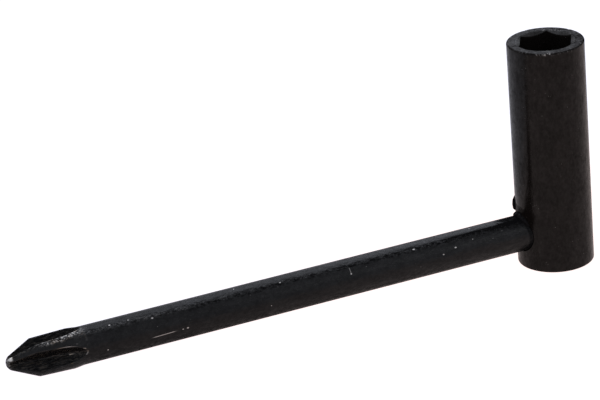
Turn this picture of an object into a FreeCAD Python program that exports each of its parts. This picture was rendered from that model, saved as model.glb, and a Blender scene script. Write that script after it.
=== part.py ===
import FreeCAD, Part
import math
import os

from FreeCAD import Vector

# Hand key: a hexagon socket barrel with a cross-point driver rod set square into its side.
# Millimetres. The barrel stands on the origin with its axis along +Z; the rod runs along -X.

# Socket barrel
barrel_diameter = 12.5
barrel_length = 38.0
rim_chamfer = 0.25
base_edge_break = 0.1

# Hexagon socket, one corner of it facing along the rod
nut_size = 8.0                  # across the flats
nut_clearance = 0.12
hexagon_depth = 14.0
lead_in_angle = 120.0           # included angle of the taper at the mouth
lead_in_margin = 0.13           # how far the taper's circle stands outside the hexagon's corners
pilot_undersize = 0.1           # pilot drill under the hexagon's width across flats
pilot_run_on = 6.0              # straight pilot hole left below the hexagon
drill_point_angle = 118.0

# Driver rod
rod_diameter = 6.0
rod_underside_height = 2.9      # clear height between the barrel's base and the rod
reach = 94.5                    # barrel axis to the tip of the nose
seat_depth = 8.0
seat_clearance = 0.02           # radial, rod in its seat
seat_mouth_gap = 0.14           # radial, where the seat opens at the barrel's skin
seat_mouth_depth = 1.1
rod_end_chamfer = 0.4

# Cross point, size 2
nose_radius = 1.15
nose_cap_length = 0.62
nose_cone_half_angle = 26.5
wing_front_swell = 0.12         # over the rod's own radius
wing_rear_swell = 0.2
swell_taper_length = 2.2
flute_length = 12.3
flute_straight_length = 8.3
flute_included_angle = 92.0
flute_root_slope = 6.0
flute_root_at_nose = 0.62       # distance of the flute's root from the rod's axis
flute_root_fillet = 0.35
flute_turn = 5.0                # degrees round the rod, first flute away from the top

# Weld at the joint
weld_leg = 0.6
weld_near_end = -52.0           # degrees round the rod from its top, minus towards -Y
weld_far_end = 66.0
weld_stations = 9
spatter_bearing = 153.0         # degrees round the barrel from +X
spatter_height = 2.25
spatter_proud = 0.48
spatter_foot_drop = 0.2         # foot of the drop below the rod's top

barrel_radius = barrel_diameter / 2
rod_radius = rod_diameter / 2
rod_axis_height = rod_underside_height + rod_radius
hexagon_width = nut_size + nut_clearance
hexagon_corner_radius = hexagon_width / math.sqrt(3)
pilot_radius = (hexagon_width - pilot_undersize) / 2
rod_axis_point = Vector(0, 0, rod_axis_height)
along_rod = Vector(-1, 0, 0)
up = Vector(0, 0, 1)


def hexagon_prism():
    """Prism of the socket's hexagon, from its bottom to above the barrel's rim."""
    corners = []
    for k in range(7):
        turn = math.radians(60 * k)
        corners.append(Vector(math.cos(turn), math.sin(turn), 0) * hexagon_corner_radius)
    bottom = barrel_length - hexagon_depth
    outline = Part.makePolygon(corners)
    outline.translate(Vector(0, 0, bottom))
    return Part.Face(outline).extrude(up * (hexagon_depth + 1))


def pilot_hole():
    """Round pilot hole with a drill point, below the hexagon."""
    floor = barrel_length - hexagon_depth - pilot_run_on
    point_depth = pilot_radius / math.tan(math.radians(drill_point_angle / 2))
    outline = Part.makePolygon([
        Vector(0, 0, floor - point_depth),
        Vector(pilot_radius, 0, floor),
        Vector(pilot_radius, 0, barrel_length),
        Vector(0, 0, barrel_length),
        Vector(0, 0, floor - point_depth),
    ])
    return Part.Face(outline).revolve(Vector(), up, 360)


def lead_in_cone():
    """Taper that widens the socket's mouth past the hexagon's corners."""
    mouth_radius = hexagon_corner_radius + lead_in_margin
    depth = mouth_radius / math.tan(math.radians(lead_in_angle / 2))
    return Part.makeCone(0, mouth_radius, depth, Vector(0, 0, barrel_length - depth))


def rod_seat():
    """Blind cross hole for the rod, opened slightly where it breaks the barrel's skin."""
    skin = rod_axis_point + along_rod * (barrel_radius + 1)
    bore = Part.makeCylinder(rod_radius + seat_clearance, seat_depth + 1, skin, along_rod * -1)
    mouth = Part.makeCylinder(rod_radius + seat_mouth_gap, seat_mouth_depth + 1, skin, along_rod * -1)
    return bore.fuse(mouth)


def socket_barrel():
    """Turned barrel with the hexagon socket in its top and the rod's seat in its side."""
    outline = Part.makePolygon([
        Vector(0, 0, 0),
        Vector(barrel_radius - base_edge_break, 0, 0),
        Vector(barrel_radius, 0, base_edge_break),
        Vector(barrel_radius, 0, barrel_length - rim_chamfer),
        Vector(barrel_radius - rim_chamfer, 0, barrel_length),
        Vector(0, 0, barrel_length),
        Vector(0, 0, 0),
    ])
    body = Part.Face(outline).revolve(Vector(), up, 360)
    return body.cut([hexagon_prism(), pilot_hole(), lead_in_cone(), rod_seat()])


def rod_point(from_nose, radius):
    """Point above the rod's axis, at a distance back from the nose."""
    return rod_axis_point + along_rod * (reach - from_nose) + up * radius


def rod_blank():
    """Round rod with its swelled, coned point and rounded nose, before fluting."""
    wing_front = rod_radius + wing_front_swell
    wing_rear = rod_radius + wing_rear_swell
    cone_length = (wing_front - nose_radius) / math.tan(math.radians(nose_cone_half_angle))
    seated_end = reach + seat_depth - barrel_radius
    cap_ball = (nose_radius ** 2 + nose_cap_length ** 2) / (2 * nose_cap_length)
    cap_turn = math.asin(nose_radius / cap_ball) / 2
    cap_middle = rod_point(cap_ball * (1 - math.cos(cap_turn)), cap_ball * math.sin(cap_turn))
    corners = [
        rod_point(nose_cap_length, nose_radius),
        rod_point(nose_cap_length + cone_length, wing_front),
        rod_point(flute_length - swell_taper_length, wing_rear),
        rod_point(flute_length, rod_radius),
        rod_point(seated_end - rod_end_chamfer, rod_radius),
        rod_point(seated_end, rod_radius - rod_end_chamfer),
        rod_point(seated_end, 0),
        rod_point(0, 0),
    ]
    cap = Part.Arc(corners[-1], cap_middle, corners[0]).toShape()
    outline = Part.Wire([cap] + Part.makePolygon(corners).Edges)
    return Part.Face(outline).revolve(rod_axis_point, along_rod, 360)


def flute_cutter():
    """Solid of one flute: a rounded V run straight in from the nose, then out on an arc."""
    slope = math.radians(flute_root_slope)
    half_angle = math.radians(flute_included_angle / 2)
    lead = 1.0
    start = rod_point(-lead, flute_root_at_nose - lead * math.tan(slope))
    straight_root = flute_root_at_nose + flute_straight_length * math.tan(slope)
    rise = rod_radius - straight_root
    run = flute_length - flute_straight_length
    end_slope = 2 * math.atan2(rise, run) - slope
    arc_radius = run / (math.sin(end_slope) - math.sin(slope))

    def on_arc(angle):
        return rod_point(
            flute_straight_length + arc_radius * (math.sin(angle) - math.sin(slope)),
            straight_root + arc_radius * (math.cos(slope) - math.cos(angle)),
        )

    past_end = end_slope + math.radians(12)
    turn_in = on_arc(slope)
    path = Part.Wire([
        Part.makeLine(start, turn_in),
        Part.Arc(turn_in, on_arc((slope + past_end) / 2), on_arc(past_end)).toShape(),
    ])
    forward = (turn_in - start).normalize()
    across = Vector(0, 1, 0)
    outward = forward.cross(across).normalize()
    centre = start + outward * flute_root_fillet
    touch = across * math.cos(half_angle) - outward * math.sin(half_angle)
    other_touch = across * -math.cos(half_angle) - outward * math.sin(half_angle)
    side = (across * math.sin(half_angle) + outward * math.cos(half_angle)) * (1.3 * rod_radius)
    other_side = (across * -math.sin(half_angle) + outward * math.cos(half_angle)) * (1.3 * rod_radius)
    right = centre + touch * flute_root_fillet
    left = centre + other_touch * flute_root_fillet
    section = Part.Wire([
        Part.Arc(left, start, right).toShape(),
        Part.makeLine(right, right + side),
        Part.makeLine(right + side, left + other_side),
        Part.makeLine(left + other_side, left),
    ])
    return path.makePipeShell([section], True, False)


def driver_rod():
    """Rod with four flutes cut into its point."""
    flutes = []
    for k in range(4):
        flute = flute_cutter()
        flute.rotate(rod_axis_point, along_rod, flute_turn + 90 * k)
        flutes.append(flute)
    return rod_blank().cut(flutes)


def joint_point(turn):
    """Point where the rod's surface enters the barrel, at an angle round the rod from its top."""
    y = rod_radius * math.sin(turn)
    x = -math.sqrt(barrel_radius ** 2 - y ** 2)
    return Vector(x, y, rod_axis_height + rod_radius * math.cos(turn))


def plain_cylinders():
    """Barrel and rod as plain cylinders, for trimming the weld to their surfaces."""
    barrel = Part.makeCylinder(barrel_radius, barrel_length)
    rod = Part.makeCylinder(rod_radius, reach, rod_axis_point, along_rod)
    return [barrel, rod]


def weld_bead():
    """Convex bead in the corner over the top of the rod, thinner at both ends."""
    sections = []
    for k in range(weld_stations):
        share = k / (weld_stations - 1)
        turn = math.radians(weld_near_end + share * (weld_far_end - weld_near_end))
        tangent = joint_point(turn + 0.01) - joint_point(turn - 0.01)
        radius = weld_leg * (0.45 + 0.55 * math.sin(math.pi * share))
        circle = Part.Circle(joint_point(turn), tangent, radius)
        sections.append(Part.Wire([circle.toShape()]))
    return Part.makeLoft(sections, True).cut(plain_cylinders())


def weld_spatter():
    """Drop of weld metal on the barrel's far flank, just above the rod."""
    bearing = math.radians(spatter_bearing)
    outward = Vector(math.cos(bearing), math.sin(bearing), 0)
    sunk = 0.2 * spatter_proud
    foot = outward * (barrel_radius - sunk)
    foot.z = rod_axis_height + rod_radius - spatter_foot_drop
    top = foot + up * spatter_height
    belly = foot + up * (0.36 * spatter_height) + outward * (spatter_proud + sunk)
    outline = Part.Wire([Part.Arc(foot, belly, top).toShape(), Part.makeLine(top, foot)])
    drop = Part.Face(outline).revolve(foot, up, 360)
    return drop.cut(plain_cylinders())


def main():
    os.makedirs("parts", exist_ok=True)
    pieces = {
        "socket_barrel": socket_barrel(),
        "driver_rod": driver_rod(),
        "weld_bead": weld_bead(),
        "weld_spatter": weld_spatter(),
    }
    for name, shape in pieces.items():
        shape.exportStep("parts/" + name + ".step")


main()
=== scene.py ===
"""Looks for an angled socket key: a turned socket barrel with a cross-point driver rod in its side."""

import math

import bmesh
import bpy
from bpy.props import FloatProperty, FloatVectorProperty, IntProperty, PointerProperty
from mathutils import Matrix, Vector, noise


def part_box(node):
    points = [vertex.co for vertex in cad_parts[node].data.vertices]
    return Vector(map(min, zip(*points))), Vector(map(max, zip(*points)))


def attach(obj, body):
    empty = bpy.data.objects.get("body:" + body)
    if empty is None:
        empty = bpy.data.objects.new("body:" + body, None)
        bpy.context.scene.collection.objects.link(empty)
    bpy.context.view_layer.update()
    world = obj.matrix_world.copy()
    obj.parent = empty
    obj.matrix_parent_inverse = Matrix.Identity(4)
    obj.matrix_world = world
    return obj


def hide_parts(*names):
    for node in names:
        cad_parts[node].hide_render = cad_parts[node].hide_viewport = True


bl_info = {
    "name": "Angled socket key",
    "version": (1, 0, 0),
    "blender": (4, 5, 0),
    "location": "3D View > Sidebar > Socket key",
    "description": "Builds the key's socket barrel, driver rod and weld in the frame of its CAD part",
    "category": "Object",
}

MM = 0.001

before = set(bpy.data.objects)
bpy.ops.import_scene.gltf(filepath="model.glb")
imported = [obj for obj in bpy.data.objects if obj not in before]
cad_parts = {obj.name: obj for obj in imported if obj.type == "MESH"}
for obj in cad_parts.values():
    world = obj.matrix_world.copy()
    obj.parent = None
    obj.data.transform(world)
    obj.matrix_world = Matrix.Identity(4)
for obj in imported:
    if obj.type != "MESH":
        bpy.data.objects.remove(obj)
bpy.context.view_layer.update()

barrel_low, barrel_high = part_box("socket_barrel")
rod_low, rod_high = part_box("driver_rod")
drop_low, drop_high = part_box("weld_spatter")

BARREL_DIAMETER = barrel_high.x - barrel_low.x
BARREL_LENGTH = barrel_high.z - barrel_low.z
REACH = -rod_low.x
ROD_SEAT_FLOOR = rod_high.x
# The rod's box holds the swell of its point as well, so its shank is given here.
ROD_DIAMETER = 6.0 * MM
ROD_AXIS_HEIGHT = 5.9 * MM


# Shader maths -----------------------------------------------------------------

class Field:
    """A number that varies over a surface; arithmetic on it adds Math nodes."""

    def __init__(self, finish, socket):
        self.finish = finish
        self.socket = socket

    def __add__(self, other):
        return self.finish.math("ADD", self, other)

    def __radd__(self, other):
        return self.finish.math("ADD", other, self)

    def __sub__(self, other):
        return self.finish.math("SUBTRACT", self, other)

    def __rsub__(self, other):
        return self.finish.math("SUBTRACT", other, self)

    def __mul__(self, other):
        return self.finish.math("MULTIPLY", self, other)

    def __rmul__(self, other):
        return self.finish.math("MULTIPLY", other, self)

    def __truediv__(self, other):
        return self.finish.math("DIVIDE", self, other)

    def __rtruediv__(self, other):
        return self.finish.math("DIVIDE", other, self)

    def __abs__(self):
        return self.finish.math("ABSOLUTE", self)

    def clamped(self):
        return self.finish.math("MULTIPLY", self, 1.0, clamp=True)

    def ramp(self, low, high):
        """0 at low and 1 at high, turning smoothly between them; low may be the larger."""
        share = self.finish.math("DIVIDE", self - low, high - low, clamp=True)
        return share * share * (3.0 - 2.0 * share)

    def near(self, middle, reach):
        """1 at middle, falling to 0 at reach on either side."""
        return abs(self - middle).ramp(reach, 0.0)


class Finish:
    """A node material under construction."""

    def __init__(self, name):
        self.material = bpy.data.materials.new(name)
        self.material.use_nodes = True
        self.tree = self.material.node_tree
        self.shader = self.tree.nodes["Principled BSDF"]
        coordinates = self.node("ShaderNodeTexCoord")
        self.place = coordinates.outputs["Object"]
        split = self.node("ShaderNodeSeparateXYZ", {}, {"Vector": self.place})
        self.x = Field(self, split.outputs["X"]) / MM
        self.y = Field(self, split.outputs["Y"]) / MM
        self.z = Field(self, split.outputs["Z"]) / MM

    def node(self, kind, settings=None, sockets=None):
        """A new node of a type, given its settings and then the values or links of its sockets."""
        made = self.tree.nodes.new(kind)
        for key, value in (settings or {}).items():
            setattr(made, key, value)
        for key, value in (sockets or {}).items():
            self.feed(made.inputs[key], value)
        return made

    def feed(self, socket, value):
        if isinstance(value, Field):
            value = value.socket
        if isinstance(value, bpy.types.NodeSocket):
            self.tree.links.new(value, socket)
        else:
            socket.default_value = value

    def math(self, operation, *values, clamp=False):
        """A Math node on numbers and fields."""
        made = self.node("ShaderNodeMath", {"operation": operation, "use_clamp": clamp},
                         dict(enumerate(values)))
        return Field(self, made.outputs[0])

    def attribute(self, name):
        """A number stored on the piece's vertices."""
        return Field(self, self.node("ShaderNodeAttribute", {"attribute_name": name}).outputs["Fac"])

    def mapped(self, scale=(1, 1, 1)):
        """Object coordinates in millimetres; a scale under 1 draws a pattern out that way."""
        stretch = tuple(s / MM for s in scale)
        return self.node("ShaderNodeMapping", {}, {"Vector": self.place, "Scale": stretch}).outputs["Vector"]

    def combined(self, x, y, z):
        return self.node("ShaderNodeCombineXYZ", {}, {"X": x, "Y": y, "Z": z}).outputs["Vector"]

    def grain(self, vector, scale, detail=3.0, roughness=0.55):
        """Noise about 0.5, finer as its scale grows."""
        made = self.node("ShaderNodeTexNoise", {"noise_dimensions": "3D"}, {
            "Vector": vector, "Scale": scale, "Detail": detail, "Roughness": roughness})
        return Field(self, made.outputs["Fac"])

    def cells(self, vector, scale):
        """Distance to the nearest of some scattered points."""
        made = self.node("ShaderNodeTexVoronoi", {"feature": "F1"}, {"Vector": vector, "Scale": scale})
        return Field(self, made.outputs["Distance"])

    def mix(self, share, first, second):
        """A colour that goes from the first to the second as the share goes from 0 to 1."""
        made = self.node("ShaderNodeMix", {"data_type": "RGBA"})
        self.feed(made.inputs[0], share)
        for socket, value in ((made.inputs[6], first), (made.inputs[7], second)):
            self.feed(socket, value if isinstance(value, bpy.types.NodeSocket) else (*value, 1.0))
        return made.outputs[2]

    def height(self, field, distance, strength=1.0, below=None):
        """A bumped normal, on top of the one below where that is given."""
        sockets = {"Height": field, "Distance": distance, "Strength": strength}
        if below is not None:
            sockets["Normal"] = below
        return self.node("ShaderNodeBump", {}, sockets).outputs["Normal"]

    def set(self, **sockets):
        """Feeds the shader's own sockets, named with underscores for spaces."""
        for key, value in sockets.items():
            self.feed(self.shader.inputs[key.replace("_", " ")], value)
        return self.material

    def open_pores(self, share, colour):
        """Lets the glossy film cover only a share of the surface, over dull open pores."""
        dull = self.node("ShaderNodeBsdfDiffuse", {}, {"Color": (*colour, 1.0)})
        mixed = self.node("ShaderNodeMixShader", {}, {
            0: share, 1: dull.outputs[0], 2: self.shader.outputs[0]})
        self.tree.links.new(mixed.outputs[0], self.tree.nodes["Material Output"].inputs["Surface"])


# Mesh helpers -----------------------------------------------------------------

SHARP_ANGLE = math.radians(32.0)


def ring_loft(name, segments, stations, place, marks=()):
    """A closed skin: one ring extruded from station to station and closed at both ends.

    place(station, turn) gives a vertex's point and its values for the marks."""
    shape = bmesh.new()
    step = shape.verts.layers.int.new("step")
    layers = [shape.verts.layers.float.new(mark) for mark in marks]
    bmesh.ops.create_circle(shape, cap_ends=True, cap_tris=True, segments=segments, radius=1.0)
    hub = max(shape.verts, key=lambda v: len(v.link_edges))
    rim = sorted((v for v in shape.verts if v is not hub),
                 key=lambda v: math.atan2(v.co.y, v.co.x) % math.tau)
    hub[step] = -1
    for index, vertex in enumerate(rim):
        vertex[step] = index

    def settle(vertices, station):
        middle = Vector()
        for vertex in vertices:
            point, values = place(station, vertex[step])
            vertex.co = point
            middle += point
            for layer, value in zip(layers, values):
                vertex[layer] = value
        return middle / len(vertices)

    hub.co = settle(rim, stations[0])
    edges = [e for e in shape.edges if hub not in e.verts]
    for station in stations[1:]:
        grown = bmesh.ops.extrude_edge_only(shape, edges=edges)["geom"]
        middle = settle([g for g in grown if isinstance(g, bmesh.types.BMVert)], station)
        edges = [g for g in grown if isinstance(g, bmesh.types.BMEdge) and g.is_boundary]
    lid = bmesh.ops.contextual_create(shape, geom=edges)["faces"]
    centre = bmesh.ops.poke(shape, faces=lid)["verts"][0]
    centre.co = middle
    bmesh.ops.recalc_face_normals(shape, faces=shape.faces)
    shape.verts.layers.int.remove(shape.verts.layers.int["step"])
    return finished(name, shape)


def finished(name, shape):
    """A piece in the scene, made from a bmesh."""
    mesh = bpy.data.meshes.new(name)
    shape.to_mesh(mesh)
    shape.free()
    piece = bpy.data.objects.new(name, mesh)
    bpy.context.scene.collection.objects.link(piece)
    soften(mesh)
    return piece


def soften(mesh):
    """Smooth shading, broken where faces meet at more than the sharp angle."""
    mesh.shade_smooth()
    mesh.set_sharp_from_angle(angle=SHARP_ANGLE)


def cut(piece, cutter):
    """Takes the cutter's solid out of the piece, and removes the cutter."""
    tool = piece.modifiers.new("cut", "BOOLEAN")
    tool.operation = "DIFFERENCE"
    tool.solver = "EXACT"
    tool.object = cutter
    bpy.context.view_layer.update()
    drawn = piece.evaluated_get(bpy.context.evaluated_depsgraph_get())
    mesh = bpy.data.meshes.new_from_object(drawn)
    piece.modifiers.clear()
    old, piece.data = piece.data, mesh
    mesh.name = piece.name
    bpy.data.meshes.remove(old)
    bpy.data.objects.remove(cutter)
    soften(mesh)


def blended(low, high, count):
    """count values from low to high, both included."""
    return [low + (high - low) * (k / (count - 1)) for k in range(count)]


def rough(point, scale, seed):
    """Smooth noise between about -1 and 1 at a point in millimetres."""
    return noise.noise(Vector(point) * scale + Vector((seed, 1.7 * seed, -seed)))


# Socket barrel ----------------------------------------------------------------

class BarrelSizes(bpy.types.PropertyGroup):
    diameter: FloatProperty(
        name="Diameter", description="Outside diameter of the barrel",
        default=BARREL_DIAMETER, unit="LENGTH", subtype="DISTANCE")
    length: FloatProperty(
        name="Length", description="Length of the barrel",
        default=BARREL_LENGTH, unit="LENGTH", subtype="DISTANCE")
    across_flats: FloatProperty(
        name="Across flats", description="Width of the hexagon socket across its flats",
        default=8.12 * MM, unit="LENGTH", subtype="DISTANCE")
    socket_depth: FloatProperty(
        name="Socket depth", description="Depth of the hexagon from the rim",
        default=14.0 * MM, unit="LENGTH", subtype="DISTANCE")
    rim_break: FloatProperty(
        name="Rim break", description="Width of the worn break on the outer rim",
        default=0.25 * MM, unit="LENGTH", subtype="DISTANCE")
    segments: IntProperty(
        name="Segments", description="Facets round the barrel, a multiple of six",
        default=240, min=48, max=360)


# In millimetres, apart from the slopes and the count of facets.
MOUTH_MARGIN = 0.13             # how far the lead-in's circle stands outside the hexagon's corners
MOUTH_SLOPE = math.tan(math.radians(60.0))
PILOT_UNDERSIZE = 0.05          # on the radius, under half the width across flats
PILOT_RUN_ON = 6.0              # straight pilot hole left below the hexagon
DRILL_POINT_SLOPE = 0.6
BASE_BREAK = 0.12               # radius on the base's edge
SEAT_CLEARANCE = 0.02
SEAT_MOUTH_GAP = 0.14
SEAT_MOUTH_DEPTH = 1.1
SEAT_SEGMENTS = 128

# Nicks in the rim: bearing and half width in degrees, depth in millimetres.
RIM_NICKS = (
    (252.0, 2.2, 0.07), (281.0, 1.6, 0.05), (218.0, 1.9, 0.05), (171.0, 2.4, 0.06),
    (96.0, 1.8, 0.06), (24.0, 2.6, 0.06), (322.0, 1.5, 0.05), (236.0, 1.1, 0.04),
)


def hexagon_radius(across_flats, angle):
    """Distance from the axis to a hexagon with a corner at angle 0."""
    return across_flats / 2 / math.cos((angle % math.radians(60)) - math.radians(30))


def rim_bite(angle):
    """Depth of the nicks in the rim at a bearing."""
    bite = 0.0
    for bearing, width, depth in RIM_NICKS:
        apart = abs((math.degrees(angle) - bearing + 180) % 360 - 180)
        if apart < width:
            bite += depth * (1 - (apart / width) ** 2)
    return bite


def build_barrel(sizes):
    """The barrel as one skin: from its base up the outside, over the rim, and down the socket."""
    radius = sizes.diameter / MM / 2
    top = sizes.length / MM
    flats = sizes.across_flats / MM
    rim = sizes.rim_break / MM
    mouth = flats / math.sqrt(3) + MOUTH_MARGIN
    bottom = top - sizes.socket_depth / MM
    pilot = flats / 2 - PILOT_UNDERSIZE
    pilot_floor = bottom - PILOT_RUN_ON

    # Each ring has a kind with its radius and height. A ring of the cone has its share of the way in
    # from the mouth's circle to the hexagon, and one of the hexagon has its depth below the cone.
    stations = [("out", r, 0.0) for r in (0.4, 1.2, 2.2, 3.2, 4.2, 5.0, 5.6)]
    for k in range(5):
        turn = math.radians(90 * k / 4)
        stations.append(("out", radius - BASE_BREAK + BASE_BREAK * math.sin(turn),
                         BASE_BREAK - BASE_BREAK * math.cos(turn)))
    stations += [("out", radius, z) for z in blended(0.4, top - rim - 0.3, 70)]
    for k in range(7):
        turn = math.radians(90 * k / 6)
        stations.append(("rim", radius - rim + rim * math.cos(turn), top - rim + rim * math.sin(turn)))
    stations += [("face", r, top) for r in blended(radius - rim - 0.12, mouth + 0.12, 6)]
    stations += [("lip", mouth + 0.05, top - 0.006), ("lip", mouth + 0.012, top - 0.03)]
    stations += [("cone", share, 0.0) for share in (0.12, 0.3, 0.5, 0.7, 0.86, 0.96)]
    stations += [("hexagon", 0.0, depth) for depth in
                 (0.04, 0.3, 0.8, 1.5, 2.5, 4.0, 6.0, 8.0, 10.0, 12.0, 13.2)]
    stations += [("hexagon_floor", 0.0, bottom)]
    stations += [("pilot", pilot, z) for z in (bottom, bottom - 0.3, bottom - 3.0, pilot_floor)]
    stations += [("pilot", pilot * share, pilot_floor - pilot * (1 - share) * DRILL_POINT_SLOPE)
                 for share in (0.75, 0.4, 0.05)]

    def place(station, turn):
        kind, r, z = station
        angle = math.tau * turn / sizes.segments
        cosine, sine = math.cos(angle), math.sin(angle)
        hexagon = hexagon_radius(flats, angle)
        edge = 0.0
        inner = 1.0 if kind in ("cone", "hexagon", "hexagon_floor", "pilot") else 0.0
        if kind == "cone":
            edge = max(0.0, 1 - r * (mouth - hexagon) / 0.10) * 0.8
            r = mouth + (hexagon - mouth) * r
            z = top - (mouth - r) / MOUTH_SLOPE
        elif kind == "hexagon":
            r, z = hexagon, max(top - (mouth - hexagon) / MOUTH_SLOPE - z, bottom + 0.01)
        elif kind == "hexagon_floor":
            r = hexagon
        elif kind == "lip":
            edge = 1.0
        elif kind == "face":
            z += 0.006 * rough((r * cosine, r * sine, 0), 0.9, 4.0)
        elif kind == "rim":
            rise = (z - (top - rim)) / rim
            edge = 1.0 - abs(rise - 0.62)
            bite = rim_bite(angle)
            r -= bite * 0.7
            z -= bite * 0.5 * max(0.0, rise)
            z += 0.006 * rough((r * cosine, r * sine, 0), 0.9, 4.0)
            r += 0.010 * rough((6 * cosine, 6 * sine, 0), 1.6, 9.0)
        elif kind == "out" and z > 0.5:
            r += 0.004 * rough((6 * cosine, 6 * sine, z), 0.35, 2.0)
        return Vector((r * cosine, r * sine, z)) * MM, (edge, inner)

    barrel = ring_loft("socket_barrel_turned", sizes.segments, stations, place, ("edge", "inner"))
    cut(barrel, seat_cutter(radius))
    return barrel


def seat_cutter(barrel_radius):
    """The solid of the rod's seat: a blind cross hole, a little wider at the barrel's skin."""
    seat_radius = ROD_DIAMETER / MM / 2 + SEAT_CLEARANCE
    mouth_radius = ROD_DIAMETER / MM / 2 + SEAT_MOUTH_GAP
    mouth_end = -barrel_radius + SEAT_MOUTH_DEPTH
    stations = [(-barrel_radius - 1.5, mouth_radius), (mouth_end, mouth_radius),
                (mouth_end + 0.02, seat_radius), (ROD_SEAT_FLOOR / MM, seat_radius)]

    def place(station, turn):
        angle = math.tau * (turn + 0.5) / SEAT_SEGMENTS
        x, r = station
        return Vector((x, r * math.cos(angle), ROD_AXIS_HEIGHT / MM + r * math.sin(angle))) * MM, ()

    return ring_loft("seat_cutter", SEAT_SEGMENTS, stations, place)


# Driver rod -------------------------------------------------------------------

class RodSizes(bpy.types.PropertyGroup):
    diameter: FloatProperty(
        name="Diameter", description="Diameter of the rod's shank",
        default=ROD_DIAMETER, unit="LENGTH", subtype="DISTANCE")
    reach: FloatProperty(
        name="Reach", description="Barrel axis to the tip of the point",
        default=REACH, unit="LENGTH", subtype="DISTANCE")
    flute_length: FloatProperty(
        name="Flute length", description="Length of the four flutes from the tip",
        default=12.3 * MM, unit="LENGTH", subtype="DISTANCE")
    flute_turn: FloatProperty(
        name="Flute turn", description="How far the flutes are turned round the rod",
        default=math.radians(5.0), subtype="ANGLE", unit="ROTATION")
    edge_wear: FloatProperty(
        name="Edge wear", description="Rounding of the worn wing edges",
        default=0.20 * MM, unit="LENGTH", subtype="DISTANCE")


# The cross point, in millimetres and radians.
NOSE_RADIUS = 1.15
NOSE_CAP = 0.62                 # length of the rounded nose
NOSE_LIFT = 0.08                # how far the nose is bent up, and from how far back
NOSE_LIFT_LENGTH = 11.0
CONE_ANGLE = math.radians(26.5)
WING_FRONT = 3.12
WING_REAR = 3.2
SWELL_TAPER = 2.2
FLUTE_HALF_ANGLE = math.radians(46.0)
FLUTE_SLOPE = math.radians(6.0)
FLUTE_RUN_OUT = 4.0
FLUTE_ROOT_AT_NOSE = 0.62       # distance of the flute's root from the rod's axis
FLUTE_FILLET = 0.35
FLUTE_FILLET_GROWTH = 0.45      # over the run-out
EDGE_WIDTH = 0.085
CLEAR_RADIUS = 9.0              # stands for a flute that is clear of the rod
SEATED_END_CHAMFER = 0.4


class CrossPoint:
    """Radii of the cross point, in millimetres, at a distance back from the nose."""

    def __init__(self, sizes):
        self.rod = sizes.diameter / MM / 2
        self.length = sizes.flute_length / MM
        self.straight = self.length - FLUTE_RUN_OUT
        self.wear = sizes.edge_wear / MM
        self.ball = (NOSE_RADIUS ** 2 + NOSE_CAP ** 2) / (2 * NOSE_CAP)
        self.cone_end = NOSE_CAP + (WING_FRONT - NOSE_RADIUS) / math.tan(CONE_ANGLE)
        self.root_straight = FLUTE_ROOT_AT_NOSE + self.straight * math.tan(FLUTE_SLOPE)
        rise = self.rod - self.root_straight
        end = 2 * math.atan2(rise, FLUTE_RUN_OUT) - FLUTE_SLOPE
        self.arc = FLUTE_RUN_OUT / (math.sin(end) - math.sin(FLUTE_SLOPE))

    def outside(self, back):
        """Radius of the point before it is fluted."""
        if back < NOSE_CAP:
            return math.sqrt(max(0.0, self.ball ** 2 - (self.ball - back) ** 2))
        if back < self.cone_end:
            return NOSE_RADIUS + (back - NOSE_CAP) * math.tan(CONE_ANGLE)
        taper = self.length - SWELL_TAPER
        if back < taper:
            share = (back - self.cone_end) / (taper - self.cone_end)
            return WING_FRONT + (WING_REAR - WING_FRONT) * share
        if back < self.length:
            share = (back - taper) / SWELL_TAPER
            share = share * share * (3 - 2 * share)
            return WING_REAR + (self.rod - WING_REAR) * share
        return self.rod

    def root(self, back):
        """Distance from the axis to a flute's root: straight from the nose, then out on an arc."""
        if back < self.straight:
            return FLUTE_ROOT_AT_NOSE + back * math.tan(FLUTE_SLOPE)
        sine = math.sin(FLUTE_SLOPE) + (back - self.straight) / self.arc
        if sine >= 1:
            return CLEAR_RADIUS
        return self.root_straight + self.arc * (math.cos(FLUTE_SLOPE) - math.sqrt(1 - sine * sine))

    def fillet(self, back):
        """Radius of the flute's root."""
        share = min(1.0, max(0.0, (back - self.straight) / FLUTE_RUN_OUT))
        return FLUTE_FILLET + FLUTE_FILLET_GROWTH * share

    def flute(self, back, off):
        """Distance from the axis to the flute's skin, off radians from its middle."""
        fillet = self.fillet(back)
        centre = self.root(back) + fillet
        off = abs(off)
        touch = math.atan2(fillet * math.cos(FLUTE_HALF_ANGLE), centre - fillet * math.sin(FLUTE_HALF_ANGLE))
        if off < touch:
            return centre * math.cos(off) - math.sqrt(max(0.0, fillet ** 2 - (centre * math.sin(off)) ** 2))
        apex = centre - fillet / math.sin(FLUTE_HALF_ANGLE)
        spread = math.cos(off) - math.sin(off) / math.tan(FLUTE_HALF_ANGLE)
        return apex / spread if spread > 0.02 else CLEAR_RADIUS

    def edge(self, back):
        """Half angle of a flute where it breaks the rod's outside."""
        outside = self.outside(back)
        if self.flute(back, 0.0) >= outside:
            return 0.0
        low, high = 0.0, math.radians(45)
        for _ in range(24):
            middle = (low + high) / 2
            low, high = (middle, high) if self.flute(back, middle) < outside else (low, middle)
        return low

    def skin(self, back, off):
        """Worn radius, how close it is to an edge, and how far it is into a flute."""
        outside, flute = self.outside(back), self.flute(back, off)
        apart = flute - outside
        wear = min(self.wear, 0.25 * outside)
        blend = max(0.0, wear - abs(apart)) / wear
        radius = min(outside, flute) - blend * blend * wear / 4
        edge = math.exp(-(apart / EDGE_WIDTH) ** 2)
        inside = min(1.0, max(0.0, -apart / 0.12))
        return radius, edge, inside


# Facets across each flute and each wing, and the least half angle that a flute's facets take up.
FLUTE_STEPS = 46
WING_STEPS = 26
LEAST_HALF_ANGLE = math.radians(10.0)


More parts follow.
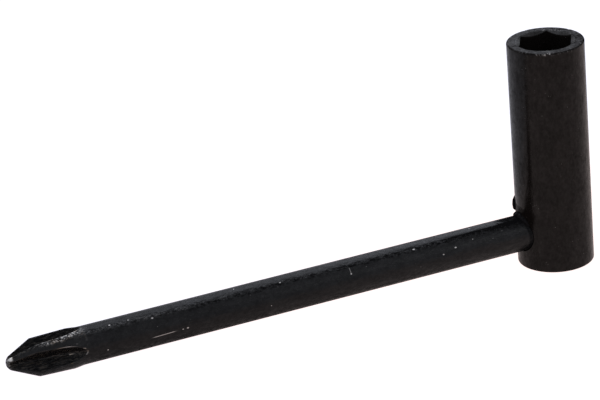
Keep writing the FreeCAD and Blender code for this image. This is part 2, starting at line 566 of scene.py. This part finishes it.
def build_rod(sizes):
    """The rod as one skin, from its nose to its end in the barrel, with vertices on the flutes' edges."""
    point = CrossPoint(sizes)
    reach = sizes.reach / MM
    quarter = FLUTE_STEPS + WING_STEPS
    floor = reach + ROD_SEAT_FLOOR / MM

    backs = [0.004, 0.02, 0.06, 0.12, 0.20, 0.30, 0.41, 0.52, 0.6]
    backs += blended(0.66, point.cone_end - 0.06, 36)
    backs += [point.cone_end - 0.02, point.cone_end + 0.02, point.cone_end + 0.07]
    backs += blended(point.cone_end + 0.15, point.straight, 28)
    backs += blended(point.straight + 0.1, point.length + 0.35, 58)
    backs += blended(point.length + 0.6, reach - 10.5, 62)
    backs += blended(reach - 10.0, floor - 0.8, 26)
    backs += [floor - SEATED_END_CHAMFER, floor - SEATED_END_CHAMFER / 2, floor]

    edges = {back: max(point.edge(back), LEAST_HALF_ANGLE) for back in backs}

    def place(back, turn):
        side, step = divmod(turn, quarter)
        edge = edges[back]
        if step < FLUTE_STEPS:
            off = -edge + 2 * edge * step / FLUTE_STEPS
        else:
            off = edge + (math.pi / 2 - 2 * edge) * (step - FLUTE_STEPS) / WING_STEPS
        angle = -sizes.flute_turn + math.pi / 2 * side + off
        if off > math.pi / 4:
            off -= math.pi / 2
        radius, worn, inside = point.skin(back, off)
        radius -= max(0.0, back - (floor - SEATED_END_CHAMFER))
        x = -(reach - back)
        if back < point.length and radius > 2.2 and inside < 0.5:
            radius -= 0.018 * max(0.0, rough((x, 3 * math.cos(angle), 3 * math.sin(angle)), 2.2, 7.0)) * worn
        if back > point.length:
            radius += 0.006 * rough((x * 0.15, 3 * math.cos(angle), 3 * math.sin(angle)), 0.8, 3.0)
        lift = NOSE_LIFT * max(0.0, 1 - back / NOSE_LIFT_LENGTH)
        y = -radius * math.sin(angle)
        z = ROD_AXIS_HEIGHT / MM + radius * math.cos(angle) + lift
        return Vector((x, y, z)) * MM, (worn if back < point.length + 0.5 else 0.0, inside)

    return ring_loft("driver_rod_ground", 4 * quarter, backs, place, ("edge", "inner"))


# Weld metal -------------------------------------------------------------------

class WeldSizes(bpy.types.PropertyGroup):
    leg: FloatProperty(
        name="Bead leg", description="Radius of the bead at its middle",
        default=0.6 * MM, unit="LENGTH", subtype="DISTANCE")
    near_end: FloatProperty(
        name="Near end", description="Where the bead starts round the rod, from its top",
        default=math.radians(-52.0), subtype="ANGLE", unit="ROTATION")
    far_end: FloatProperty(
        name="Far end", description="Where the bead ends round the rod, from its top",
        default=math.radians(66.0), subtype="ANGLE", unit="ROTATION")
    lumpiness: FloatProperty(
        name="Lumpiness", description="Height of the lumps on the weld metal",
        default=0.11 * MM, unit="LENGTH", subtype="DISTANCE")


# In millimetres, apart from the counts and the bearing.
BEAD_SEGMENTS = 26
BEAD_STEPS = 40
DROP_BEARING = math.radians(153.0)      # round the barrel from +X
DROP_SUNK = 0.1                         # how far the drop's middle is inside the barrel's skin
DROP_EXTRA_HEIGHT = 0.55                # over its CAD node, which is a little short
DROP_HALF_DEPTH = 0.57
DROP_HALF_WIDTH = 0.60


def build_bead(sizes):
    """A convex bead of weld metal in the corner over the top of the rod."""
    barrel_radius = BARREL_DIAMETER / MM / 2
    rod_radius = ROD_DIAMETER / MM / 2
    leg, lump = sizes.leg / MM, sizes.lumpiness / MM

    def joint(turn):
        y = rod_radius * math.sin(turn)
        return Vector((-math.sqrt(barrel_radius ** 2 - y ** 2), y,
                       ROD_AXIS_HEIGHT / MM + rod_radius * math.cos(turn)))

    def place(share, turn):
        bearing = sizes.near_end + (sizes.far_end - sizes.near_end) * share
        middle = joint(bearing)
        along = (joint(bearing + 0.01) - joint(bearing - 0.01)).normalized()
        across = along.cross(Vector((0, 0, 1))).normalized()
        upward = across.cross(along)
        angle = math.tau * turn / BEAD_SEGMENTS
        direction = across * math.cos(angle) + upward * math.sin(angle)
        # Thickest at its middle, thinner towards both ends, and drawn in at the ends themselves
        radius = leg * (0.34 + 0.6 * math.sin(math.pi * share) ** 0.7)
        if share in (0.0, 1.0):
            radius *= 0.35
        radius += lump * 0.9 * rough(middle + direction * radius, 2.4, 5.0)
        radius += lump * 0.35 * rough(middle + direction * radius, 6.5, 11.0)
        return (middle + direction * max(0.05, radius)) * MM, ()

    shares = [k / BEAD_STEPS for k in range(BEAD_STEPS + 1)]
    return ring_loft("weld_bead_lumpy", BEAD_SEGMENTS, shares, place)


def build_drop(sizes):
    """A drop of weld metal that ran down the barrel's flank."""
    lump = sizes.lumpiness / MM
    low, high = drop_low / MM, drop_high / MM
    outward = Vector((math.cos(DROP_BEARING), math.sin(DROP_BEARING), 0))
    foot = outward * (BARREL_DIAMETER / MM / 2 - DROP_SUNK)
    height = high.z - low.z + DROP_EXTRA_HEIGHT
    shape = bmesh.new()
    bmesh.ops.create_icosphere(shape, subdivisions=4, radius=1.0)
    turned = Matrix.Rotation(DROP_BEARING, 3, "Z")
    bmesh.ops.rotate(shape, verts=shape.verts, cent=(0, 0, 0), matrix=turned)
    for vertex in shape.verts:
        unit = vertex.co.copy()
        level = (unit.z + 1) / 2
        width = math.sin(math.pi * level ** 0.72) ** 0.55 if 0 < level < 1 else 0.0
        flat = Vector((unit.x, unit.y, 0))
        if flat.length > 1e-6:
            flat = flat.normalized() * width
        out = flat.dot(outward)
        side = flat - outward * out
        point = foot + outward * out * DROP_HALF_DEPTH + side * DROP_HALF_WIDTH
        point += Vector((0, 0, low.z + level * height))
        point += unit * lump * 0.55 * rough(point, 2.1, 3.0) * min(1.0, 3 * level * (1 - level) + 0.2)
        vertex.co = point * MM
    bmesh.ops.recalc_face_normals(shape, faces=shape.faces)
    return finished("weld_drop_run", shape)


# Finishes ---------------------------------------------------------------------

class FinishColours(bpy.types.PropertyGroup):
    oxide: FloatVectorProperty(
        name="Black oxide", description="Colour of the blackened skin",
        default=(0.0036, 0.0028, 0.0025), subtype="COLOR", size=3, min=0.0, max=1.0)
    rod_oxide: FloatVectorProperty(
        name="Rod black oxide", description="Colour of the blackened skin on the rod",
        default=(0.0033, 0.0032, 0.0034), subtype="COLOR", size=3, min=0.0, max=1.0)
    worn_steel: FloatVectorProperty(
        name="Worn steel", description="Colour of steel where the blackening has worn through",
        default=(0.44, 0.42, 0.40), subtype="COLOR", size=3, min=0.0, max=1.0)
    bronzed_steel: FloatVectorProperty(
        name="Bronzed steel", description="Colour of steel that hardening has tinted where it shows",
        default=(0.34, 0.23, 0.13), subtype="COLOR", size=3, min=0.0, max=1.0)
    weld_scale: FloatVectorProperty(
        name="Weld scale", description="Colour of the burnt skin on the weld",
        default=(0.0042, 0.0038, 0.0040), subtype="COLOR", size=3, min=0.0, max=1.0)
    oxide_roughness: FloatProperty(
        name="Oxide roughness", description="Roughness of the oiled film on the blackened skin",
        default=0.135, min=0.05, max=1.0, subtype="FACTOR")
    film_cover: FloatProperty(
        name="Film cover", description="Share of the blackened skin that the glossy oiled film covers",
        default=0.46, min=0.0, max=1.0, subtype="FACTOR")


FILM_IOR = 1.30                 # of the oiled film
BLUED_SCALE = (0.006, 0.006, 0.008)             # tint in the weld's scale
GROUND_LINES = (0.032, 0.025, 0.018)            # grinding lines in the flutes
PAINTED_SHADE_HEIGHT = 9.2             # middle of the painted shade over the rod on the barrel, above its base

# Marks on the rod: distance along it and arc round it from its top, in millimetres.
SCRATCH_START = (-71.9, 5.03)
SCRATCH_SLOPE = -0.035
SCRATCH_MIDDLE = -69.7
SCRATCH_HALF = 2.6
TICK_AT = -37.6
TICK_ARC = 2.5
RING_AT = -82.0
ROD_NICKS = (
    ((-66.6, 4.87), 0.13), ((-65.8, 4.85), 0.18), ((-77.8, 1.2), 0.18), ((-71.0, 1.9), 0.18),
    ((-79.0, 5.1), 0.13), ((-74.7, 1.1), 0.13), ((-49.3, 1.36), 0.15), ((-51.7, 4.76), 0.09),
    ((-26.1, 1.57), 0.22), ((-19.2, 3.04), 0.18), ((-21.5, 3.66), 0.15), ((-37.6, 2.98), 0.14),
    ((-15.4, -0.05), 0.14), ((-15.9, 2.4), 0.09), ((-56.7, 0.16), 0.13),
)


def lighter(colour, times):
    """A colour with each of its parts multiplied."""
    return tuple(times * part for part in colour)


def barrel_finish(colours):
    """Black oxide on turned steel: worn along the rim, with painted shade and a painted dark reflection of
    the rod over the joint, duller on its top face with painted shade across it.
    """
    finish = Finish("barrel_black_oxide")
    edge, inner = finish.attribute("edge"), finish.attribute("inner")
    top = BARREL_LENGTH / MM
    top_face = finish.z.ramp(top - 0.3, top - 0.1) * (1.0 - inner)
    radius = finish.math("SQRT", finish.x * finish.x + finish.y * finish.y)
    bearing = finish.math("ARCTAN2", finish.y, finish.x)
    off_rod = finish.math("ARCTAN2", -1.0 * finish.y, -1.0 * finish.x)

    # Grain of the skin
    mottle = finish.grain(finish.mapped((1.0, 1.0, 0.55)), 0.55, 4.0, 0.62)
    patch = finish.grain(finish.mapped((1.0, 1.0, 0.7)), 1.5, 4.0, 0.65)
    crisp = finish.grain(finish.mapped((1.0, 1.0, 0.6)), 2.4, 3.0, 0.7)
    fine = finish.grain(finish.mapped(), 5.0, 3.0, 0.65)
    streak = finish.grain(finish.mapped((1.0, 1.0, 0.16)), 2.6, 4.0, 0.62)
    turned = finish.grain(finish.combined(radius * 0.2, 0.0, finish.z * 5.0), 1.6, 3.0, 0.55)
    pitted = finish.grain(finish.mapped(), 0.8, 2.0).ramp(0.50, 0.62)
    pit = finish.cells(finish.mapped(), 2.3).ramp(0.2, 0.07) * pitted

    # Bare steel on the rim, on the top face and in specks
    nibbled = finish.grain(finish.mapped(), 2.2, 5.0, 0.70)
    chipped = (bearing.near(0.90, 0.55) + bearing.near(-2.04, 0.42)).clamped()
    worn = (edge * (nibbled + 0.09 * chipped).ramp(0.58, 0.70)).clamped()
    clusters = finish.grain(finish.mapped(), 0.33, 2.0, 0.6).ramp(0.53, 0.62)
    speck = finish.cells(finish.mapped((1.0, 1.0, 0.8)), 1.9).ramp(0.11, 0.04) * clusters
    face_nicks = top_face * finish.grain(finish.mapped(), 2.4, 4.0, 0.7).ramp(0.63, 0.72)
    bright = (worn * (0.55 + 0.35 * chipped) + face_nicks * 0.3 + speck * 0.3).clamped()

    oxide = finish.mix(mottle.ramp(0.35, 0.7), colours.oxide, lighter(colours.oxide, 1.7))
    colour = finish.mix(bright, oxide, colours.worn_steel)
    roughness = (colours.oxide_roughness + (mottle - 0.5) * 0.14 + (fine - 0.5) * 0.12
                 + top_face * 0.16 + inner * 0.12 + bright * 0.08)
    relief = finish.height(turned * 0.08 + fine * 0.20 + patch * 1.0 + streak * 0.40 - pit * 0.5,
                           0.030 * MM, 1.0)
    finish.set(Base_Color=colour, Roughness=roughness, Metallic=bright * 0.9,
               IOR=FILM_IOR, Specular_IOR_Level=0.5, Normal=relief)

    # Cover of the film: thin in a painted dark reflection of the rod running up from the joint, in painted
    # shade and reflection over the rod there, and on the top face, which is duller and has painted shade
    # growing toward +X and -Y
    # A painted dark reflection of the rod: a thin dull line up the barrel from the joint
    painted_rod_reflection = (off_rod - 0.50 + 0.22 * finish.z.ramp(19.0, 10.0) + (crisp - 0.5) * 0.10).near(0.0, 0.055)
    painted_rod_reflection = painted_rod_reflection * finish.z.ramp(32.0, 22.0) * finish.z.ramp(9.5, 10.5) * crisp.ramp(0.34, 0.46)
    # Painted shade and dark reflection of the rod on the barrel, just over the joint
    painted_joint_shade = ((finish.x + 2.2).ramp(0.0, -2.0) * abs(finish.y).ramp(4.6, 2.2)
              * (finish.z - PAINTED_SHADE_HEIGHT).near(0.0, 2.6) + (patch - 0.5) * 1.1).ramp(0.30, 0.60)
    painted_joint_shade = painted_joint_shade * (finish.x + 2.0).ramp(0.0, -1.0)
    # A duller top face, with painted shade growing toward +X and -Y
    dull_face_and_shade = top_face * (0.225 + 0.10 * (finish.x - 0.6 * finish.y).ramp(-1.0, 7.0))
    cover = (colours.film_cover + (mottle - 0.5) * 0.40 + (patch - 0.5) * 0.50 - painted_rod_reflection * 0.24
             + (crisp.ramp(0.42, 0.60) - 0.5) * 0.12 + pit * 0.25
             - 0.025 - dull_face_and_shade - painted_joint_shade * 0.34 + bright)
    finish.open_pores(cover.clamped(), colours.oxide)
    return finish.material


def spot(finish, along, arc, centre, size):
    """1 inside a small mark on the rod, a little longer along it than round it."""
    first, second = (along - centre[0]) * 0.65, arc - centre[1]
    return finish.math("SQRT", first * first + second * second).ramp(size, 0.35 * size)


def rod_marks(finish, along, arc):
    """The scratch, the nicks and the short tick on the rod's shank."""
    scratch_line = abs(arc - (SCRATCH_START[1] + (along - SCRATCH_START[0]) * SCRATCH_SLOPE))
    scratch = scratch_line.ramp(0.09, 0.02) * along.near(SCRATCH_MIDDLE, SCRATCH_HALF).ramp(0.0, 0.45)
    marks = scratch * 0.9
    for centre, size in ROD_NICKS:
        marks = marks + spot(finish, along, arc, centre, 0.9 * size)
    tick = (along - TICK_AT).near(0.0, 0.12) * arc.near(TICK_ARC, 0.75).ramp(0.0, 0.3)
    return (marks + 0.5 * tick).clamped()


def rod_finish(colours):
    """Black oxide on drawn bar: worn on the cross point's edges, with grinding lines in its flutes."""
    finish = Finish("rod_black_oxide")
    edge, inner = finish.attribute("edge"), finish.attribute("inner")
    height = finish.z - ROD_AXIS_HEIGHT / MM
    around = finish.math("ARCTAN2", -1.0 * finish.y, height)
    along = finish.x
    back = along + REACH / MM
    arc = around * (ROD_DIAMETER / MM / 2)

    # Grain of the skin
    mottle = finish.grain(finish.mapped((0.5, 1.0, 1.0)), 0.6, 4.0, 0.62)
    drawn = finish.grain(finish.mapped((0.16, 1.0, 1.0)), 2.4, 4.0, 0.62)
    pitted = finish.grain(finish.mapped((0.60, 1.0, 1.0)), 1.35, 4.0, 0.66)
    crisp = finish.grain(finish.mapped((0.7, 1.0, 1.0)), 2.3, 3.0, 0.7)
    fine = finish.grain(finish.mapped(), 8.0, 2.0, 0.6)
    flute_lines = finish.grain(finish.mapped((0.10, 1.0, 1.0)), 7.0, 3.0, 0.6)

    # Bare steel on the wings' edges, most of all on the upper one, and on the nose, where a painted highlight
    # is laid on its top as bright bare steel
    nibbled = finish.grain(finish.mapped((0.6, 1.0, 1.0)), 1.5, 4.0, 0.66)
    run_out = back.near(11.6, 1.6)
    top_lip = around.near(0.38, 0.40)
    front_lip = around.near(1.02, 0.30) * back.near(9.3, 2.4)
    lower_lip = around.near(1.86, 0.22) * back.near(8.5, 4.5)
    other_wings = (around.near(-1.05, 0.50) + around.near(-2.44, 0.75) + around.near(2.6, 0.45)).clamped()
    lips = 0.12 + 0.9 * top_lip + 0.35 * front_lip + 0.5 * lower_lip + 0.6 * run_out + 0.5 * other_wings
    worn = (edge * (nibbled.ramp(0.50, 0.64) * lips + 0.75 * top_lip * back.near(6.5, 5.5)
                    + 0.55 * front_lip + 0.12 * lower_lip)).clamped()
    # A painted highlight on the nose's top, drawn as bright bare steel
    painted_nose_glint = height.ramp(0.60, 0.95) * around.near(0.35, 0.80) * back.near(0.62, 0.48)
    nose_patches = finish.grain(finish.mapped(), 2.0, 3.0, 0.6).ramp(0.46, 0.60)
    # The nose's worn patches, together with its painted highlight
    nose = (back.ramp(1.0, 0.4) * 0.30 * nose_patches + 1.6 * painted_nose_glint).clamped()

    # Dings along the wings' crests, flecks behind them, specks, and a faint ring round the shank
    crest = around - 0.50 + 0.08 * finish.math("MAXIMUM", back - 8.8, 0.0)
    crests = (crest.near(0.0, 0.30) + 0.4 * other_wings).clamped()
    dinged = back.near(9.0, 5.4).ramp(0.0, 0.6) * crests * (1.0 - inner)
    dings = dinged * finish.grain(finish.mapped((0.8, 1.0, 1.0)), 3.4, 3.0, 0.6).ramp(0.48, 0.58)
    flecks = (around.near(0.50, 0.20) * along.ramp(-50.0, -72.0) * (1.0 - inner)
              * finish.grain(finish.mapped((0.8, 1.0, 1.0)), 3.0, 3.0, 0.65).ramp(0.50, 0.62))
    clusters = finish.grain(finish.mapped((0.5, 1.0, 1.0)), 0.35, 2.0).ramp(0.54, 0.62)
    speck = finish.cells(finish.mapped((0.6, 1.0, 1.0)), 1.5).ramp(0.10, 0.04) * clusters
    ring = along.near(RING_AT, 0.3) * pitted.ramp(0.45, 0.62) * 0.05
    marks = rod_marks(finish, along, arc)

    # Walls of the flutes that face the front and the top, darkened lower down as painted shade in the flutes
    front_wall = inner * around.near(1.50, 0.75)
    top_wall = inner * around.ramp(0.55, 0.30) * around.ramp(-0.9, -0.6)
    painted_flute_shade = front_wall * around.ramp(1.50, 1.36) + top_wall
    # Bronzed bare steel on the front flute's lower wall, placed and brightened as a painted glint
    painted_bronze_glint = (front_wall * around.near(1.60, 0.09) * back.near(9.3, 1.5)
              * finish.grain(finish.mapped((0.3, 1.0, 1.0)), 3.0, 2.0).ramp(0.40, 0.60))

    bright = (worn * 0.75 + speck * 0.28 + ring + marks * 0.62 + nose * 1.0 + dings * 0.55
              + painted_bronze_glint * 0.9 + flecks * 0.10).clamped()
    oxide = finish.mix(mottle.ramp(0.35, 0.7), colours.rod_oxide, lighter(colours.rod_oxide, 1.6))
    ground = finish.mix(flute_lines.ramp(0.48, 0.66), oxide, GROUND_LINES)
    oxide = finish.mix(inner * 0.8, oxide, ground)
    tinted = finish.grain(finish.mapped(), 0.9, 2.0).ramp(0.47, 0.6) * back.ramp(13.0, 12.0)
    tinted = tinted * (1.0 - (nose + dings + front_lip).clamped())
    steel = finish.mix((tinted + painted_bronze_glint).clamped(), colours.worn_steel, colours.bronzed_steel)
    colour = finish.mix(bright, oxide, steel)
    roughness = (colours.oxide_roughness + (mottle - 0.5) * 0.12 + (pitted - 0.5) * 0.14
                 + bright * 0.04)
    relief = finish.height(drawn * 0.35 + pitted * (1.0 + 0.7 * dinged) + fine * 0.10, 0.115 * MM, 1.0)
    relief = finish.height(flute_lines * inner, 0.020 * MM, 0.8, relief)
    finish.set(Base_Color=colour, Roughness=roughness, Metallic=(bright + inner * 0.08).clamped(),
               IOR=FILM_IOR, Specular_IOR_Level=0.5, Normal=relief)

    # Cover of the film: thin in a painted dark reflection line along the top, in painted shade at the joint
    # and underneath, lower in the flutes with painted shade on their walls, and fuller in front as a painted
    # sheen
    point = back.ramp(14.0, 11.0)
    # The underside, duller as painted shade
    under = abs(around).ramp(1.75, 2.25)
    # A painted dark reflection line below the top highlight, stronger near the barrel
    painted_reflection_line = (around - 0.395 + along * 0.0035 + (crisp - 0.5) * 0.22).near(0.0, 0.20).ramp(0.0, 0.55)
    painted_reflection_line = painted_reflection_line * (0.16 * along.ramp(-72.0, -58.0) + 0.30 * along.ramp(-26.0, -15.0))
    from_barrel = finish.math("SQRT", along * along + finish.y * finish.y)
    barrel_radius = BARREL_DIAMETER / MM / 2
    # Painted shade on the rod where it goes into the barrel's seat
    painted_gap_shade = from_barrel.ramp(barrel_radius + 0.75, barrel_radius + 0.40)
    # Painted shade on the rod's top just outside the barrel, where the barrel blocks the light
    painted_joint_shade = (along.ramp(-13.5, -8.5) * around.near(0.05, 0.75)
              + (pitted - 0.5) * 1.4).ramp(0.35, 0.75) * along.ramp(-14.0, -11.5)
    crown = around.near(0.52, 0.30) * (1.0 - inner)
    # A painted sheen on the front of the shank, stronger towards the barrel
    lit_front = around.ramp(0.55, 0.9) * along.ramp(-75.0, -12.0)
    calm = around.ramp(0.55, 0.30) * (1.0 - point)
    cover = (colours.film_cover + (mottle - 0.5) * 0.25 + (pitted - 0.5) * (0.34 - 0.20 * calm)
             + (crisp.ramp(0.38, 0.60) - 0.55) * (0.14 - 0.08 * calm + 0.5 * crown)
             # Lower inside the flutes, and lower still as painted shade on the walls that face the front and
             # the top
             + inner * ((flute_lines.ramp(0.42, 0.60) - 0.5) * 0.5 - 0.15) - painted_flute_shade * 0.30
             + point * 0.06 + lit_front * 0.12 - calm * 0.09
             - painted_reflection_line - painted_gap_shade * 0.4 - painted_joint_shade * 0.34 - under * 0.30 + bright)
    finish.open_pores(cover.clamped(), colours.rod_oxide)
    return finish.material


def weld_finish(colours):
    """Burnt scale on the weld metal, nearly all of it dull, with a few bright flecks."""
    finish = Finish("weld_burnt_scale")
    lumps = finish.grain(finish.mapped(), 1.6, 4.0, 0.65)
    fine = finish.grain(finish.mapped(), 7.0, 4.0, 0.7)
    fleck = finish.cells(finish.mapped(), 2.2).ramp(0.14, 0.05) * lumps.ramp(0.52, 0.62)
    blued = finish.mix(lumps.ramp(0.3, 0.7), colours.weld_scale, BLUED_SCALE)
    colour = finish.mix(fleck * 0.5, blued, colours.worn_steel)
    roughness = 0.34 + (fine - 0.5) * 0.3 + (lumps - 0.5) * 0.15
    relief = finish.height(lumps * 1.0 + fine * 0.5, 0.07 * MM, 0.9)
    finish.set(Base_Color=colour, Roughness=roughness, Metallic=fleck * 0.6,
               IOR=FILM_IOR, Specular_IOR_Level=0.5, Normal=relief)
    finish.open_pores((0.07 + (lumps - 0.5) * 0.6 + fleck).clamped(), colours.weld_scale)
    return finish.material


# Stage ------------------------------------------------------------------------

class StageLook(bpy.types.PropertyGroup):
    floor_tilt: FloatProperty(
        name="Floor tilt", description="Slope of the floor, which the base's edge and a wing both touch",
        default=math.radians(2.0), subtype="ANGLE", unit="ROTATION")
    floor_glow: FloatVectorProperty(
        name="Floor glow", description="Light that the lit table gives back",
        default=(1.20, 1.03, 1.00), size=3)
    floor_glow_far: FloatVectorProperty(
        name="Floor glow, far side", description="Light that the lit table gives back behind and to the left",
        default=(1.00, 1.00, 1.10), size=3)
    sky: FloatVectorProperty(
        name="Surround", description="Light from the room all round",
        default=(0.95, 0.99, 1.08), size=3)
    box_strength: FloatProperty(
        name="Soft box", description="Radiance of the large soft box above and behind",
        default=2.6, min=0.0)


# The floor and the camera's place in metres, the lens in millimetres.
FLOOR_HALF_WIDTH = 6.0
CAMERA_PLACE = (-0.18469007, -0.3651294, 0.18803855)
CAMERA_RIGHT = (0.9167256, -0.3907842, -0.0830779)
CAMERA_DOWN = (-0.2247333, -0.3324693, -0.9159471)
CAMERA_FORWARD = (0.3303168, 0.8583425, -0.3926054)
CAMERA_LENS = 163.01


def soft_box(name, centre, across, along, width, height, radiance, colour):
    """A rectangular area light with its sides along two given directions."""
    light = bpy.data.lights.new(name, "AREA")
    light.shape = "RECTANGLE"
    light.size = width
    light.size_y = height
    light.energy = radiance * width * height * math.pi
    light.color = colour
    lamp = bpy.data.objects.new(name, light)
    first = Vector(across).normalized()
    second = Vector(along)
    second = (second - first * second.dot(first)).normalized()
    turn = Matrix((first, second, first.cross(second))).transposed()
    lamp.matrix_world = Matrix.Translation(centre) @ turn.to_4x4()
    lamp.visible_camera = False
    bpy.context.scene.collection.objects.link(lamp)


def build_floor(look):
    """A white table that gives light, and takes no part in the object."""
    shape = bmesh.new()
    bmesh.ops.create_grid(shape, x_segments=8, y_segments=8, size=FLOOR_HALF_WIDTH)
    tilt = Matrix.Rotation(look.floor_tilt, 3, "Y")
    bmesh.ops.rotate(shape, verts=shape.verts, cent=(0, 0, 0), matrix=tilt)
    bmesh.ops.translate(shape, verts=shape.verts, vec=(-BARREL_DIAMETER / 2, 0, 0))
    floor = finished("table_floor", shape)
    finish = Finish("table_white")
    glow = finish.mix((finish.y - 0.35 * finish.x).ramp(14.0, 48.0),
                      look.floor_glow, look.floor_glow_far)
    finish.set(Base_Color=(0.05, 0.05, 0.05, 1.0), Roughness=0.9, Specular_IOR_Level=0.0,
               Emission_Color=glow, Emission_Strength=1.0)
    floor.data.materials.append(finish.material)


def build_lights(look):
    """The room's light, and three soft boxes: behind, to the left and to the right."""
    world = bpy.data.worlds.new("room")
    world.use_nodes = True
    world.node_tree.nodes["Background"].inputs["Color"].default_value = (*look.sky, 1.0)
    bpy.context.scene.world = world

    soft_box("soft_box_far", (0.079, 0.353, 0.686), (0.663, 0.415, -0.624), (-0.665, 0.709, -0.235),
             1.30, 0.38, look.box_strength, (0.90, 0.94, 1.05))
    soft_box("soft_box_left", (-0.42, 0.42, 0.60), (-0.80, -0.60, 0.0), (0.35, -0.48, 0.62),
             0.34, 0.30, 1.15 * look.box_strength, (0.95, 0.98, 1.0))
    soft_box("soft_box_right", (0.36, -0.52, 0.48), (0.82, 0.57, 0.0), (-0.28, 0.40, 0.72),
             0.34, 0.16, 0.45 * look.box_strength, (1.0, 1.0, 1.0))


def place_camera():
    """Sets the camera at its place, turned by the three directions of its view."""
    scene = bpy.context.scene
    camera = bpy.data.cameras.new("camera")
    camera.lens = CAMERA_LENS
    camera.sensor_width = 36.0
    camera.sensor_fit = "HORIZONTAL"
    camera.clip_start = 0.01
    seat = bpy.data.objects.new("camera", camera)
    right, down, forward = Vector(CAMERA_RIGHT), Vector(CAMERA_DOWN), Vector(CAMERA_FORWARD)
    turn = Matrix((right, -down, -forward)).transposed()
    seat.matrix_world = Matrix.Translation(CAMERA_PLACE) @ turn.to_4x4()
    scene.collection.objects.link(seat)
    scene.camera = seat


# Operators --------------------------------------------------------------------

def hand_over(piece, material, node):
    """Gives a piece its finish and its place in the frame."""
    piece.data.materials.clear()
    piece.data.materials.append(material)
    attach(piece, "root")
    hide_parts(node)


class KEY_OT_socket_barrel(bpy.types.Operator):
    """Build the turned barrel with its hexagon socket and the seat for the rod"""
    bl_idname = "key.socket_barrel"
    bl_label = "Socket barrel"

    def execute(self, context):
        barrel = build_barrel(context.scene.key_barrel)
        hand_over(barrel, barrel_finish(context.scene.key_finishes), "socket_barrel")
        return {"FINISHED"}


class KEY_OT_driver_rod(bpy.types.Operator):
    """Build the driver rod with its fluted cross point"""
    bl_idname = "key.driver_rod"
    bl_label = "Driver rod"

    def execute(self, context):
        rod = build_rod(context.scene.key_rod)
        hand_over(rod, rod_finish(context.scene.key_finishes), "driver_rod")
        return {"FINISHED"}


class KEY_OT_weld_metal(bpy.types.Operator):
    """Build the weld bead over the joint and the drop beside it"""
    bl_idname = "key.weld_metal"
    bl_label = "Weld metal"

    def execute(self, context):
        scale = weld_finish(context.scene.key_finishes)
        hand_over(build_bead(context.scene.key_weld), scale, "weld_bead")
        hand_over(build_drop(context.scene.key_weld), scale, "weld_spatter")
        return {"FINISHED"}


class KEY_OT_stage(bpy.types.Operator):
    """Lay the floor and set the lights and the camera"""
    bl_idname = "key.stage"
    bl_label = "Stage"

    def execute(self, context):
        settings = context.scene.view_settings
        settings.view_transform = "Standard"
        settings.look = "None"
        build_floor(context.scene.key_stage)
        build_lights(context.scene.key_stage)
        place_camera()
        return {"FINISHED"}


class KEY_PT_builder(bpy.types.Panel):
    """Sizes and pieces of the socket key"""
    bl_idname = "KEY_PT_builder"
    bl_label = "Socket key"
    bl_space_type = "VIEW_3D"
    bl_region_type = "UI"
    bl_category = "Socket key"

    def draw(self, context):
        for operator, settings in STEPS:
            column = self.layout.box().column()
            column.operator(operator)
            group = getattr(context.scene, settings)
            for name in group.__annotations__:
                column.prop(group, name)
        column = self.layout.box().column()
        for name in context.scene.key_finishes.__annotations__:
            column.prop(context.scene.key_finishes, name)


STEPS = (
    ("key.socket_barrel", "key_barrel"),
    ("key.driver_rod", "key_rod"),
    ("key.weld_metal", "key_weld"),
    ("key.stage", "key_stage"),
)
GROUPS = (
    ("key_barrel", BarrelSizes),
    ("key_rod", RodSizes),
    ("key_weld", WeldSizes),
    ("key_finishes", FinishColours),
    ("key_stage", StageLook),
)
CLASSES = (KEY_OT_socket_barrel, KEY_OT_driver_rod, KEY_OT_weld_metal, KEY_OT_stage, KEY_PT_builder)


def register():
    for name, group in GROUPS:
        bpy.utils.register_class(group)
        setattr(bpy.types.Scene, name, PointerProperty(type=group))
    for item in CLASSES:
        bpy.utils.register_class(item)


def unregister():
    for item in reversed(CLASSES):
        bpy.utils.unregister_class(item)
    for name, group in reversed(GROUPS):
        delattr(bpy.types.Scene, name)
        bpy.utils.unregister_class(group)


def main():
    register()
    bpy.ops.key.socket_barrel()
    bpy.ops.key.driver_rod()
    bpy.ops.key.weld_metal()
    bpy.ops.key.stage()


if __name__ == "__main__":
    main()
